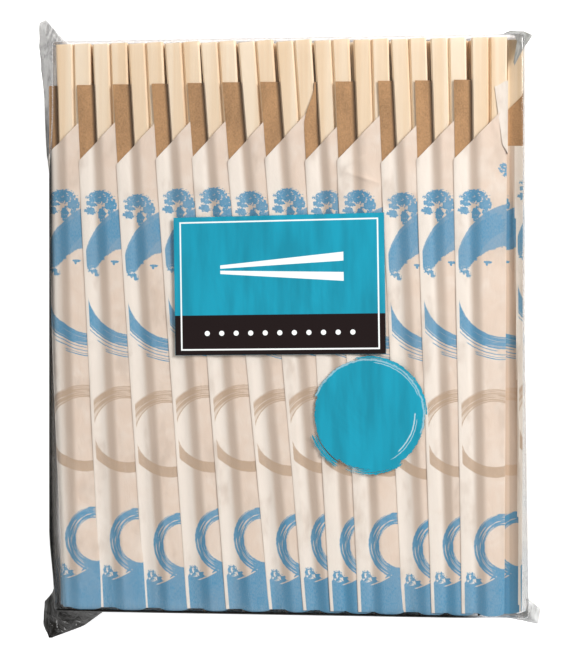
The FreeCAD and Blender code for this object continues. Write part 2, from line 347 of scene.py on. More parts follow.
def pick(*pieces):
    """Select these pieces and nothing else, and make the first one active."""
    bpy.ops.object.select_all(action="DESELECT")
    for piece in pieces:
        piece.select_set(True)
    if pieces:
        bpy.context.view_layer.objects.active = pieces[0]


def new_grid(name, columns, rows):
    """A flat square sheet from (0, 0) to (1, 1), in so many strips each way."""
    pick()
    bpy.ops.mesh.primitive_grid_add(
        x_subdivisions=columns, y_subdivisions=rows, size=1.0, location=(0.5, 0.5, 0.0))
    sheet = bpy.context.object
    sheet.name = sheet.data.name = name
    bpy.ops.object.transform_apply(location=True, rotation=False, scale=False)
    return sheet


def apply_modifier(piece, kind, **values):
    pick(piece)
    modifier = piece.modifiers.new(kind.title(), kind)
    for name, value in values.items():
        setattr(modifier, name, value)
    bpy.ops.object.modifier_apply(modifier=modifier.name)


def weld(piece, distance):
    """Join vertices that lie together."""
    pick(piece)
    bpy.ops.object.mode_set(mode="EDIT")
    bpy.ops.mesh.select_all(action="SELECT")
    bpy.ops.mesh.remove_doubles(threshold=distance)
    bpy.ops.object.mode_set(mode="OBJECT")


def join(pieces, name):
    """One object of several."""
    pick(*pieces)
    bpy.ops.object.join()
    whole = bpy.context.object
    whole.name = whole.data.name = name
    return whole


def smooth(piece, degrees):
    pick(piece)
    bpy.ops.object.shade_smooth_by_angle(angle=math.radians(degrees))


def thicken(sheet, thickness, outer, inner):
    """Make a sheet solid, with one material on its outer face and its rim and another inside."""
    sheet.data.materials.append(outer)
    sheet.data.materials.append(inner)
    apply_modifier(sheet, "SOLIDIFY", thickness=thickness, offset=0.0, material_offset=1,
                   material_offset_rim=0)
    smooth(sheet, 50)


def settle(piece, node):
    """Ride on the pack's one body, and stand for the CAD node it replaces."""
    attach(piece, BODY)
    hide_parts(node)


def ease(value):
    """Smooth step from 0 to 1."""
    value = min(1.0, max(0.0, value))
    return value * value * (3 - 2 * value)


def lerp(first, second, share):
    return first + (second - first) * share


# ---------------------------------------------------------------- wood


def wood_material(settings):
    """Fine straight grain along the sticks, each stick a shade apart."""
    recipe = Recipe("planed_white_wood")
    place = recipe.object_place()
    grain = speckle(scaled(place, (900, 14, 900)), 1.0, 3.0, 0.6)
    growth = speckle(scaled(place, (210, 4, 150)), 1.0, 2.0, 0.5, 0.4)
    shade = speckle(scaled(place, (75, 1.5, 190)), 1.0, 0.0)
    share = grain * 0.35 + growth * 0.9 + shade * 0.9
    base = mix(ramp(share, 0.82, 1.38), settings.pale, settings.deep)
    normal = recipe.named("TexCoord", "Normal")
    sawn = ramp(abs(parts(normal)[1]), 0.7, 0.9)
    pores = speckle(scaled(place, (2600, 200, 2600)), 1.0, 1.0)
    ends = mix(ramp(pores, 0.35, 0.65), settings.end, settings.pale)
    base = mix(sawn, base, ends)
    relief = bump(grain + pores * sawn, 0.25, 0.06 * MM)
    return recipe.finish(recipe.principled(base, ramp(growth, -0.6, 1.2), relief, Specular_IOR_Level=0.3))


class PACK_OT_wood(bpy.types.Operator):
    """Give every pair of sticks its planed white wood"""

    bl_idname = "pack.wood"
    bl_label = "Chopstick Wood"

    def execute(self, context):
        material = wood_material(context.scene.pack_wood)
        for name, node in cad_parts.items():
            if "chopsticks" in name:
                for slot in node.material_slots:
                    slot.material = material
                if not node.material_slots:
                    node.data.materials.append(material)
        return {"FINISHED"}


# ---------------------------------------------------------------- paper sleeves


def stroke(place, centre, inner, outer, middle=0.0, sweep=math.pi, tall=1.0,
           rough=0.5, streaks=0.0, seed=0.0, hollow=1.0):
    """Mask of one brush stroke round a centre, with bristle streaks and ragged ends.

    middle and sweep give its middle direction and half its length in radians. hollow is how
    much of the ink the streaks take away.
    """
    du, dv, radius = from_centre(place, centre, tall)
    turn = (dv.maths("ARCTAN2", du) - middle).maths("WRAP", math.pi, -math.pi)
    ragged = speckle(place, 0.75, 2.0, 0.6) - 0.5
    wavy = radius + ragged * rough
    ring = ramp(wavy, inner - 0.15, inner + 0.15) * ramp(wavy, outer + 0.15, outer - 0.15)
    bristles = speckle(vector(radius * 1.9, turn * 0.8, seed), 1.0, 2.0, 0.6)
    if sweep < math.pi:
        away = abs(turn) + (bristles - 0.5) * (7.0 / outer) + ragged * (2.0 / outer)
        ring *= ramp(away, sweep + 0.02, sweep - 0.02)
    if streaks:
        limit = 0.78 - 0.36 * streaks
        gaps = ramp(bristles, limit, limit + 0.03)
        ring *= 1.0 - gaps * hollow
    return ring


def round_field(place, centre, radius, rough):
    """1 inside a rough-edged circle, 0 outside."""
    ragged = speckle(place, 0.8, 3.0, 0.65) - 0.5
    return ramp(from_centre(place, centre)[2] + ragged * rough, radius + 0.15, radius - 0.15)


def leaves(place, clumps, ragged=1.2):
    """Mask of leaf clumps: (centre, half width, half height) of each in millimetres."""
    across, along = parts(place)[:2]
    mounds = []
    for (u, v), wide, high in clumps:
        du = (across - u) * (1 / wide)
        dv = (along - v) * (1 / high)
        mounds.append(1.0 - (du * du + dv * dv))
    tips = speckle(place, 1.05, 3.0, 0.65) - 0.52
    return ramp(least(most(*mounds), 0.5) + tips * (ragged * 3), -0.06, 0.06)


def sleeve_print(place, settings):
    """Masks of the blue and the beige ink at a place on the sleeve, in millimetres."""
    across, along = parts(place)[:2]
    waves = speckle(vector(across, 0.0), 0.9, 3.0, 0.7)
    tuft = ramp(across, 1.4, 2.4) * ramp(across, 7.6, 5.4)
    edge = (settings.band / MM - 2.4 + (waves - 0.2) * 3.0 + tuft * (waves - 0.3) * 3.0 +
            ramp(across, 9.0, 12.5) * 4.4)
    swish = most(
        stroke(place, (-4.0, 41.0), 29.0, 29.5, -1.12, 0.16, rough=0.3, seed=7),
        stroke(place, (-4.6, 41.4), 30.4, 31.1, -1.15, 0.14, rough=0.3, streaks=0.3, seed=8),
        stroke(place, (-5.0, 41.0), 31.9, 32.3, -1.13, 0.13, rough=0.3, seed=9))
    band = ramp(along - edge, 0.1, -0.1) * (1.0 - swish)
    scratches = stroke(place, (23.8, 120.0), 17.0, 24.0, 2.5, 0.6, rough=0.4, streaks=0.3, seed=15)
    crescent = (round_field(place, (23.8, 122.6), 23.4, 0.8) *
                (1.0 - round_field(place, (19.2, 113.2), 17.3, 2.6)) *
                ramp(along + (waves - 0.5) * 9.0, 122.8, 123.5) * (0.9 + scratches * 0.1))
    crown = (((7.2, 148.2), 4.5, 2.5), ((10.9, 145.4), 2.4, 2.4), ((3.6, 143.2), 2.1, 1.4),
             ((7.7, 142.0), 1.5, 2.5), ((11.3, 142.0), 1.4, 1.9), ((4.2, 146.0), 1.9, 1.4))
    ring = (17.0, 114.5)
    blue = most(
        band, crescent,
        leaves(place, crown, 1.3),
        leaves(place, (((11.6, 124.9), 1.5, 0.5), ((11.2, 124.4), 0.5, 0.8)), 0.7),
        leaves(place, (((3.2, 122.6), 1.6, 2.0), ((4.8, 120.6), 0.9, 1.4)), 1.7),
        leaves(place, (((17.6, 158.0), 1.7, 1.7), ((18.6, 155.6), 1.2, 1.0)), 1.8),
        leaves(place, (((3.4, 13.8), 1.7, 1.8), ((6.2, 12.4), 1.0, 1.4)), 1.9),
        stroke(place, ring, 16.0, 20.3, -2.25, 0.86, rough=0.5, streaks=0.5, seed=2, hollow=0.85),
        stroke(place, ring, 20.9, 21.2, -2.3, 0.62, rough=0.3, seed=3),
        stroke(place, ring, 22.1, 22.4, -1.72, 0.5, rough=0.3, seed=4),
        stroke(place, ring, 22.8, 24.3, -1.6, 0.4, rough=0.4, streaks=0.95, seed=14),
        stroke(place, (15.7, 24.6), 7.2, 10.9, 2.95, 1.95, tall=1.08, rough=0.7, streaks=0.6, seed=5,
               hollow=0.85))
    middle = (12.9, 63.8)
    lens = round_field(place, (12.6, 64.4), 15.4, 0.5) * (1.0 - round_field(place, (12.7, 66.4), 13.6, 0.4))
    beige = most(
        stroke(place, middle, 12.4, 16.4, 1.85, 1.05, rough=0.5, streaks=0.75, seed=9, hollow=0.6),
        stroke(place, middle, 12.0, 12.4, 2.5, 1.3, rough=0.4, seed=16),
        stroke(place, middle, 13.4, 13.7, 2.7, 1.1, rough=0.4, seed=17),
        lens * ramp(along, 62.5, 58.0))
    margin = settings.margin / MM
    inside = ramp(across + waves * 0.5, margin + 0.1, margin + 0.35)
    return blue * inside, beige * inside


def sleeve_place(recipe):
    """Place on the flat sleeve in millimetres: across from the fold, and up from the foot."""
    return scaled(recipe.field("UVMap", uv_map="sleeve"), PER_MM)


def paper_material(paper, inks, name="printed_sleeve_paper", shadow=0.0):
    """Thin white paper, warmer where it lies on wood, with the sleeve's print; painted shade in the dip
    beside its pair and at its tucked edge, and painted shade all over as far as the shadow share asks.
    """
    recipe = Recipe(name)
    place = sleeve_place(recipe)
    across = parts(place)[0]
    reach = paper.reach / MM
    spot = recipe.object_place()
    mottle = speckle(spot, 130, 3.0, 0.6, 0.6)
    clouds = speckle(scaled(spot, (110, 55, 110)), 1.0, 3.0, 0.6)
    fibres = speckle(scaled(place, (3.0, 0.9, 1.0)), 1.0, 3.0, 0.7)
    over_wood = ramp(across, reach - 0.8, reach + 2.2) * 0.75 + (mottle - 0.5) * 1.3
    base = mix(ramp(over_wood, 0.0, 1.0), paper.outside, paper.warm)
    drift = speckle(scaled(spot, (30, 26, 30)), 1.0, 2.0)
    # Painted shade: a darker band where the paper dips into the gap beside its pair, raised to the shadow
    # share, and a darker edge where it tucks under the fold; soft random patches take the same tone.
    dip = ramp(across, reach - 1.6, reach + 1.0) * ramp(across, reach + 4.2, reach + 1.8) * (0.45 + drift)
    dip = most(dip, shadow)
    shaded = most(dip, ramp(across, 0.5, -0.2), ramp(clouds, 0.5, 0.72) * 0.5)
    base = mix(shaded, base, paper.shade)
    blue, beige = sleeve_print(place, inks)
    cover = 0.88 + (fibres - 0.5) * 0.5 + (clouds - 0.5) * -0.3
    base = mix(beige * cover, base, inks.beige)
    base = mix(blue * cover, base, inks.blue)
    # Painted shade on the blue ink in the same dip.
    base = mix(blue * dip * 0.45, base, darker(inks.blue, 0.62))
    wrinkles = speckle(scaled(spot, (260, 120, 260)), 1.0, 3.0, 0.6, 0.8)
    relief = bump(fibres * 0.2 + wrinkles * 1.3, 0.35, 0.3 * MM)
    return recipe.finish(recipe.principled(base, 0.72, relief, Specular_IOR_Level=0.25,
                                           Sheen_Weight=0.05))


def inner_material(paper):
    """The brown inner face: flecked and fibrous, with painted shade, nearly black, where it turns down
    beside the pair.
    """
    recipe = Recipe("brown_inner_face")
    across = parts(sleeve_place(recipe))[0]
    place = recipe.object_place()
    fibres = speckle(scaled(place, (2100, 1300, 1300)), 1.0, 3.0, 0.7)
    mottle = speckle(scaled(place, (160, 60, 120)), 1.0, 3.0)
    base = mix(ramp(fibres * 0.8 + mottle * 0.6, 0.45, 1.05), paper.inside, darker(paper.inside, 0.55))
    # Painted shade: nearly black where the back ply turns down beside the pair.
    turned = ramp(across, 1.3 - paper.reach / MM, 0.1 - paper.reach / MM)
    base = mix(turned, base, darker(paper.inside, 0.16))
    relief = bump(fibres, 0.3, 0.05 * MM)
    return recipe.finish(recipe.principled(base, 0.8, relief, Specular_IOR_Level=0.2))


class Pair:
    """Edges and levels of one joined pair of sticks, from its head and its foot."""

    def __init__(self, head, foot, head_half, foot_half, ends, levels):
        self.head, self.foot = head, foot
        self.head_half, self.foot_half = head_half, foot_half
        self.foot_y, self.head_y = ends
        self.bottom, self.top = levels

    def share(self, y):
        return (y - self.foot_y) / (self.head_y - self.foot_y)

    def edge(self, side, y):
        """x of the left (-1) or right (1) edge."""
        share = self.share(y)
        centre = lerp(self.foot, self.head, share)
        return centre + side * lerp(self.foot_half, self.head_half, share)


def ends_of(node):
    """Middle and half width of a lone pair at its head and at its foot."""
    low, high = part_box(node)
    found = []
    for limit in (high.y, low.y):
        across = [v.co.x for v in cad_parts[node].data.vertices if abs(v.co.y - limit) < 3 * MM]
        found.append(((min(across) + max(across)) / 2, (max(across) - min(across)) / 2))
    return found


def front_pairs():
    """The pairs of the front layer, each leaning its own way."""
    pairs = []
    for index in range(FRONT_PAIRS):
        node = f"front_chopsticks_{index + 1:02d}"
        low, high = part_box(node)
        (head, head_half), (foot, foot_half) = ends_of(node)
        pairs.append(Pair(head, foot, head_half, foot_half, (low.y, high.y), (low.z, high.z)))
    return pairs


def hidden_pairs(layer):
    """The parallel pairs of a hidden layer, evenly spaced across the pack."""
    low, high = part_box(f"chopsticks_layer_{layer}")
    lone = ends_of("front_chopsticks_01")
    head_half, foot_half = lone[0][1], lone[1][1]
    count = FULL_ROW if layer % 2 == 0 else FULL_ROW - 1
    first, last = low.x + head_half, high.x - head_half
    return [
        Pair(centre, centre, head_half, foot_half, (low.y, high.y), (low.z, high.z))
        for centre in (lerp(first, last, index / (count - 1)) for index in range(count))
    ]


class Sleeve:
    """How one flat sleeve is folded round its pair, its empty part laid over the pair beside it."""

    def __init__(self, paper, pair, left=None, puff=0.0, mouth=None, seed=0.0, slide=0.0,
                 creases=(), narrowing=0.0, right=None, bulge=0.0, print_shift=0.0):
        self.paper, self.pair, self.left, self.right = paper, pair, left, right
        self.bulge, self.print_shift = bulge, print_shift
        self.puff, self.seed, self.slide = puff, seed, slide
        self.mouth = paper.reach if mouth is None else mouth
        self.creases, self.narrowing = creases, narrowing
        self.foot = pair.foot_y - (0.9 if puff else 0.2) * MM
        self.top = pair.top + paper.close
        self.low = pair.bottom - paper.close
        self.wall = self.top - self.low
        self.ply = paper.gauge * (1.4 if puff else 1.0)

    def reach(self, y):
        """Width of the empty part: as wide as given at the mouth, and drawn in above it if it narrows."""
        share = self.pair.share(y)
        width = lerp(self.paper.reach, self.mouth, ease(share * 1.1))
        start = self.foot + self.paper.front_reach + 12 * MM
        return width - self.narrowing * ease((y - start) / (16 * MM))

    def right_side(self, y):
        """x of the right side: at the pair, or past it as far as the next sleeve's fold."""
        side = self.pair.edge(1, y) + self.paper.close + self.bulge * ease(1 - self.pair.share(y))
        if self.right is None:
            return side
        fold = self.right.edge(-1, y) - self.paper.reach
        return max(side, min(side + 1.8 * MM, fold + 0.6 * MM))

    def limits(self, y):
        """Widths from the fold: to the pair's left edge and to its right side."""
        reach = self.reach(y)
        return reach, reach + self.right_side(y) - self.pair.edge(-1, y) + self.paper.close

    def loft(self, u, y):
        """Height of the front ply above the pair it holds, beyond the pair's left edge."""
        reach, across = self.limits(y)
        share = min(1.0, max(0.0, (u - reach) / (across - reach)))
        climb = ease((u - reach) / self.paper.climb)
        swell = 1 + 0.5 * noise.noise(Vector((self.seed * 3.7, y * 26, 0.5)))
        return 2 * self.ply * (1 - share) + self.puff * swell * climb * (1 - share * share)

    def bed(self, u, y):
        """Height of the flap's own back ply, which lies on the sleeve to its left."""
        if self.left is None:
            return 0.0
        x = self.pair.edge(-1, y) - self.paper.close - self.reach(y) + u
        edge = self.left.right_side(y)
        if x >= edge:
            return self.ply
        across = self.left.limits(y)[1]
        return self.ply + self.left.loft(across - (edge - x), y)

    def dip(self, u, y):
        """How far both plies sag into the gap between two pairs."""
        if self.left is None:
            return 0.0
        gap = max(0.0, self.pair.edge(-1, y) - self.left.pair.edge(1, y))
        middle = self.reach(y) - gap / 2
        half = gap / 2 + 0.9 * MM
        return 0.1 * gap * ease(1 - abs(u - middle) / half)

    def flap_place(self, u, y, level):
        """A point of the flap, level above the pair's own top, turned down if nothing carries it."""
        left = self.pair.edge(-1, y) - self.paper.close
        before = self.reach(y) - u
        if self.left is not None:
            return left - before, self.top + level - self.dip(u, y)
        hang, drop = (0.35 * MM, 4.4 * MM)
        if self.puff:
            middle = max(0.0, math.sin(math.pi * self.pair.share(y))) ** 1.5
            hang, drop = (3.4 + 1.4 * middle) * MM, 4.2 * MM
        turn = min(1.0, max(0.0, before) / self.reach(y)) * math.pi / 2
        return (left - (hang + level) * math.sin(turn) ** 0.8 + max(0.0, -before),
                self.top + level * math.cos(turn) - drop * (1 - math.cos(turn)) ** 1.3)

    def line(self, u, y):
        """x and z where the sheet's line u comes to lie; u runs over the front from the fold."""
        reach, across = self.limits(y)
        left = self.pair.edge(-1, y) - self.paper.close
        right = self.right_side(y)
        seam = (left + right) / 2
        if u < 0:
            if -u <= reach:
                return self.flap_place(-u, y, self.bed(-u, y))
            depth = -u - reach
            if depth <= self.wall:
                return left, self.top + (self.ply if depth < self.ply else 0.0) - depth
            share = min(1.0, (depth - self.wall) / (BACK_LENGTH - reach - self.wall))
            return lerp(left, seam, share), self.low
        if u <= reach:
            open_part = 0.8 * self.ply * math.sin(math.pi * min(1.0, u / reach))
            return self.flap_place(u, y, self.bed(u, y) + self.ply + (open_part if self.puff else 0.0))
        if u <= across:
            return self.flap_place(u, y, self.loft(u, y))
        depth = u - across
        if depth <= self.wall:
            return right, self.top - depth
        share = min(1.0, (depth - self.wall) / (FRONT_LENGTH - across - self.wall))
        return lerp(right, seam, share), self.low

    def crumple(self, u, v, x, y):
        """Small hollows, creases and the curl at the mouth, on the front only."""
        across = self.limits(y)[1]
        if not 0 <= u <= across or not self.puff:
            return 0.0
        rise = 0.16 * MM * noise.noise(Vector((x, y, self.seed * 0.013)) * 85)
        rise += 0.16 * MM * noise.noise(Vector((x * 1.6, y * 0.7, self.seed)) * 60)
        mouth = self.mouth_line(u) - v
        rise += 0.3 * MM * math.exp(-max(0.0, mouth) / (5 * MM)) * (1 - ease(u / across))
        for (cu, cv), angle, long, high in self.creases:
            du, dv = u - cu * MM, v - cv * MM
            along = du * math.cos(angle) + dv * math.sin(angle)
            off = -du * math.sin(angle) + dv * math.cos(angle)
            rise += high * MM * math.exp(-abs(off) / (0.9 * MM)) * ease(1 - abs(along) / (long * MM))
        return rise * min(1.0, u / (1.5 * MM)) * min(1.0, (across - u) / (1.5 * MM))

    def mouth_line(self, u):
        """How far up the sheet its mouth is cut, this far from the fold."""
        return self.paper.turn + self.paper.front_reach - self.slide + self.paper.mouth_slope * u

    def place(self, u, v):
        """Where the flat sheet's point (u, v) comes to lie."""
        turn = self.paper.turn
        y = self.foot + max(0.0, v - turn)
        soft = 0.3 * MM
        before, here, after = (self.line(u + step, y) for step in (-soft, 0.0, soft))
        x = (before[0] + 2 * here[0] + after[0]) / 4
        z = (before[1] + 2 * here[1] + after[1]) / 4
        z += self.crumple(u, v, x, y)
        reach, across = self.limits(y)
        middle_share = min(1.0, max(0.0, (abs(u) - reach) / (across - reach)))
        rounded = math.sin(math.pi * middle_share) ** 0.6
        if v < turn:
            share = v / turn
            middle = (self.top + self.low) / 2
            held = ease((abs(u) - self.reach(y)) / (2 * MM) + 1)
            closed = lerp(1.0, 0.04 + 0.96 * math.sqrt(1 - (1 - share) ** 2), held)
            z = middle + (z - middle) * closed
            y -= (0.1 + 0.5 * rounded) * MM * (1 - share) ** 2
        if self.puff:
            y += 0.9 * MM * (1 - rounded) * ease(1 - (v - turn) / (6 * MM))
        return Vector((x, y, z))


BACK_LENGTH = 18.5 * MM
FRONT_LENGTH = 31.0 * MM


def column_lines(sleeve, v, counts):
    """Sheet lines across one station, set close at every fold."""
    back, wall, flap, front, side, under = counts
    y = sleeve.foot + max(0.0, v - sleeve.paper.turn)
    reach, across = sleeve.limits(y)
    stations = ((-BACK_LENGTH, back), (-reach - sleeve.wall, wall), (-reach, flap), (0.0, front),
                (across, side), (across + sleeve.wall, under), (FRONT_LENGTH, 0))
    lines = []
    for (start, count), (end, _) in zip(stations, stations[1:]):
        lines += [lerp(start, end, step / count) for step in range(count)]
    return lines + [FRONT_LENGTH]


def row_stations(sleeve, rows):
    """Sheet lines up the sleeve: close at the foot, and close below the mouth if it is crumpled there."""
    turn, top = sleeve.paper.turn, sleeve.paper.turn + sleeve.paper.back_reach
    stations = [turn * step / 4 for step in range(4)]
    stations += [lerp(turn, top, step / rows) for step in range(rows + 1)]
    if len(sleeve.creases) > 1:
        low, high = 148 * MM, 170 * MM
        stations = [v for v in stations if not low <= v <= high]
        stations += [lerp(low, high, step / 56) for step in range(57)]
    return sorted(stations)


def model_sleeve(name, sleeve, counts, rows, outer, inner):
    """A flat printed sheet: cut along its mouth, folded round the pair and glued at its seam."""
    paper = sleeve.paper
    columns = sum(counts)
    stations = row_stations(sleeve, rows)
    sheet = new_grid(name, columns, len(stations) - 1)
    mesh = sheet.data
    lines = [column_lines(sleeve, v, counts) for v in stations]
    for vertex in mesh.vertices:
        column = round(vertex.co.x * columns)
        row = round(vertex.co.y * (len(stations) - 1))
        vertex.co = (lines[row][column], stations[row], 0.0)
    cut_mouth(sheet, sleeve)
    layer = mesh.uv_layers[0]
    layer.name = "sleeve"
    flat = [Vector(vertex.co) for vertex in mesh.vertices]
    for loop in mesh.loops:
        point = flat[loop.vertex_index]
        across = point.x + sleeve.print_shift
        if point.x < 0:
            reach = sleeve.reach(sleeve.foot + max(0.0, point.y - paper.turn))
            across = point.x * paper.reach / reach if -point.x < reach else point.x + reach - paper.reach
        layer.data[loop.index].uv = (across, point.y - paper.turn + sleeve.slide)
    for vertex, point in zip(mesh.vertices, flat):
        vertex.co = sleeve.place(point.x, point.y)
    weld(sheet, 0.02 * MM)
    thicken(sheet, paper.gauge * 0.8, outer, inner)
    return sheet


def cut_mouth(sheet, sleeve):
    """Cut the front ply along its slanted mouth, from the fold to where it meets the back ply."""
    pick(sheet)
    bpy.ops.object.mode_set(mode="EDIT")
    bpy.ops.mesh.select_mode(type="FACE")
    bpy.ops.mesh.select_all(action="DESELECT")
    bpy.ops.object.mode_set(mode="OBJECT")
    for polygon in sheet.data.polygons:
        polygon.select = polygon.center.x > 0
    bpy.ops.object.mode_set(mode="EDIT")
    bpy.ops.mesh.bisect(
        plane_co=(0.0, sleeve.mouth_line(0.0), 0.0),
        plane_no=(-sleeve.paper.mouth_slope, 1.0, 0.0), clear_outer=True)
    bpy.ops.object.mode_set(mode="OBJECT")


FINE = (3, 5, 10, 36, 5, 4)
PLAIN = (1, 2, 3, 10, 2, 1)


class PACK_OT_front_sleeves(bpy.types.Operator):
    """Fold the printed sleeve of each front pair"""

    bl_idname = "pack.front_sleeves"
    bl_label = "Front Sleeves"

    def execute(self, context):
        paper = context.scene.pack_paper
        outer = paper_material(paper, context.scene.pack_print)
        inner = inner_material(paper)
        pairs = front_pairs()
        slides = (-0.8, -0.4, 1.2, -0.6, -0.9, 0.6, -0.4, 0.4, 0.2, 1.3, 0.3, 0.3)
        mouths = (5.9, 6.7, 6.8, 6.1, 6.2, 7.4, 7.4, 5.7, 7.5, 5.7, 6.4, 6.9)
        # of each crease: its middle on the sheet, its angle, half its length and its height
        creases = {
            6: (((9, 158), 0.9, 9, 0.35),),
            8: (((6.5, 163.2), 0.46, 6, 0.6), ((9.5, 157.2), -0.34, 9, 0.6), ((3.2, 160), 0.9, 4, 0.45)),
            9: (((5, 150), 1.2, 7, 0.25),),
        }
        sleeve = None
        for index, pair in enumerate(pairs):
            sleeve = Sleeve(
                paper, pair, sleeve, paper.puff, mouths[index] * MM, index + 1.0,
                slides[index] * MM, creases.get(index, ()), 5.0 * MM if index == 7 else 0.0,
                pairs[index + 1] if index + 1 < len(pairs) else None)
            piece = model_sleeve(f"sleeve_{index + 1:02d}", sleeve, FINE, 66, outer, inner)
            settle(piece, f"front_sleeve_{index + 1:02d}")
        return {"FINISHED"}


def flank_sleeve(paper, pair, left, outer, inner, shaded):
    """The outermost sleeve seen past the front ones, ridged along its length, its corner turned back."""
    ridge = ((15.2, 96), 1.585, 118, 1.5)
    sleeve = Sleeve(paper, pair, left, 0.3 * MM, seed=13.0, slide=-5.0 * MM, creases=(ridge,),
                    bulge=1.1 * MM, print_shift=-14.6 * MM)
    piece = model_sleeve("sleeve_at_right_edge", sleeve, FINE, 66, outer, inner)
    piece.data.materials.append(shaded)
    brown, dark = 1, 2
    layer = piece.data.uv_layers["sleeve"]
    for polygon in piece.data.polygons:
        places = [layer.data[index].uv for index in polygon.loop_indices]
        u = sum(place[0] for place in places) / len(places) / MM
        v = sum(place[1] for place in places) / len(places) / MM
        if u > -3.0 and v > 161.5:
            polygon.material_index = brown
        # Painted shade: faces left of the ridge get the shaded paper, their print set back unshifted.
        elif u < 0.5 and polygon.center.x > 74 * MM and polygon.material_index == 0:
            polygon.material_index = dark
            for index in polygon.loop_indices:
                layer.data[index].uv[0] -= sleeve.print_shift
                layer.data[index].uv[1] -= sleeve.slide
    return piece


def turned_corner(outer, inner):
    """A loose corner of that sleeve: it stands beside the last front pair and laps over its edge."""
    corner = new_grid("turned_corner", 10, 16)
    layer = corner.data.uv_layers[0]
    layer.name = "sleeve"
    for loop in corner.data.loops:
        place = corner.data.vertices[loop.vertex_index].co
        layer.data[loop.index].uv = ((1.5 + 3.0 * place.x) * MM, (168 + 20 * place.y) * MM)
    pair = front_pairs()[-1]
    for vertex in corner.data.vertices:
        s, t = vertex.co.x, vertex.co.y
        y = lerp(60.5, 84.2 + 2.1 * ease(2 * s), t) * MM
        side = pair.edge(1, y) + 0.35 * MM
        lap = lerp(lerp(77.2, 74.0, t) * MM, side, ease(1 - t / 0.14))
        lift = lerp(0.7, 0.15, t)
        if s < 0.5:
            vertex.co = (lerp(lap, side, 2 * s), y, pair.top + lift * MM)
        else:
            vertex.co = (side, y, pair.top + lerp(lift, -4.9, 2 * s - 1) * MM)
    thicken(corner, 0.08 * MM, outer, inner)
    return corner


class PACK_OT_hidden_sleeves(bpy.types.Operator):
    """Fold the sleeves of the hidden layers, a row at a time"""

    bl_idname = "pack.hidden_sleeves"
    bl_label = "Hidden Sleeves"

    def execute(self, context):
        paper = context.scene.pack_paper
        outer = bpy.data.materials["printed_sleeve_paper"]
        inner = bpy.data.materials["brown_inner_face"]
        # A copy of the printed paper with painted shade all over, for the strip of the flank sleeve seen
        # past the front ones.
        shaded = paper_material(paper, context.scene.pack_print, "shaded_sleeve_paper", 1.0)
        edge = []
        for layer in HIDDEN_LAYERS:
            pairs = hidden_pairs(layer)
            row = []
            sleeve = None
            for index, pair in enumerate(pairs):
                name = f"layer_{layer}_{index}"
                slide = 1.5 * MM * noise.noise(Vector((layer, index, 0.5)))
                if layer == 2 and index == len(pairs) - 1:
                    made = flank_sleeve(paper, pair, sleeve, outer, inner, shaded)
                    row.append(turned_corner(outer, inner))
                else:
                    sleeve = Sleeve(paper, pair, sleeve, slide=slide)
                    made = model_sleeve(name, sleeve, PLAIN, 14, outer, inner)
                (row if index else edge).append(made)
            settle(join(row, f"sleeve_row_{layer}"), f"sleeves_layer_{layer}")
        settle(join(edge, "sleeves_at_left_edge"), "left_edge_sleeves")
        return {"FINISHED"}


# ---------------------------------------------------------------- film bag


TUBE_SIDE = 84.735 * MM
TUBE_FOOT, TUBE_HEAD = -103.25 * MM, 102.9 * MM
SEAM_SIDE = 82.5 * MM


def film_material(film):
    """Clear film, greyer at a slant, with painted shade dark along two edges and lighter on the right side,
    and the label and badge printed on it.
    """
    recipe = Recipe("printed_bag_film")
    place = recipe.object_place()
    height = parts(place)[2]
    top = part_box("film_bag")[1].z
    front = ramp(height, top - 2 * MM, top - 1 * MM)
    creases = speckle(scaled(place, (55, 34, 60)), 1.0, 3.0, 0.6, 0.8)
    relief = bump(creases, 0.5, 0.9 * MM)
    facing = recipe.named("LayerWeight", "Facing", 0.35)
    across, along = parts(place)[:2]
    # Painted shade: the film is laid dark along the left side and the foot, where it is seen edge-on or on
    # top.
    spread = ramp(along, -40 * MM, -98 * MM) * (1.4 * MM)
    left_painted_shade = ramp(across - spread, -83.9 * MM, -85.7 * MM) * ramp(along, 76 * MM, 52 * MM)
    foot_painted_shade = ramp(along, -101.9 * MM, -102.4 * MM) * ramp(across, 72 * MM, 58 * MM)
    edge_on = ramp(facing, 0.3, 0.6) * ramp(height, 22 * MM, 36 * MM)
    on_top = ramp(height, 41.4 * MM, 42.8 * MM)
    painted_edge_shade = most(left_painted_shade, foot_painted_shade) * most(edge_on, on_top)
    tint = mix(facing, (0.99, 0.99, 0.992, 1), (0.9, 0.9, 0.91, 1))
    # Painted shade: the film is tinted darker over the top beyond the last front pair and down the right
    # side wall.
    tint = mix(ramp(across, 78.6 * MM, 79.6 * MM) * on_top, tint, (0.875, 0.87, 0.865, 1))
    wall = ramp(across, 83.9 * MM, 84.5 * MM) * ramp(height, 42.8 * MM, 41.4 * MM)
    tint = mix(wall, tint, (0.84, 0.837, 0.832, 1))
    gloss = recipe.node("BsdfGlossy")
    gloss.inputs["Roughness"].default_value = 0.12
    recipe.put(gloss.inputs["Normal"], relief)
    clear = recipe.clear(mix(painted_edge_shade, tint, (0.12, 0.118, 0.11, 1)))
    skin = recipe.blend(recipe.field("Fresnel", 1.5, relief) * 0.4, clear, Field(recipe, gloss.outputs[0]))
    mask, base = film_print(place, film)
    printed = recipe.principled(base, 0.4, relief, Specular_IOR_Level=0.22)
    return recipe.finish(recipe.blend(mask * front, skin, printed))


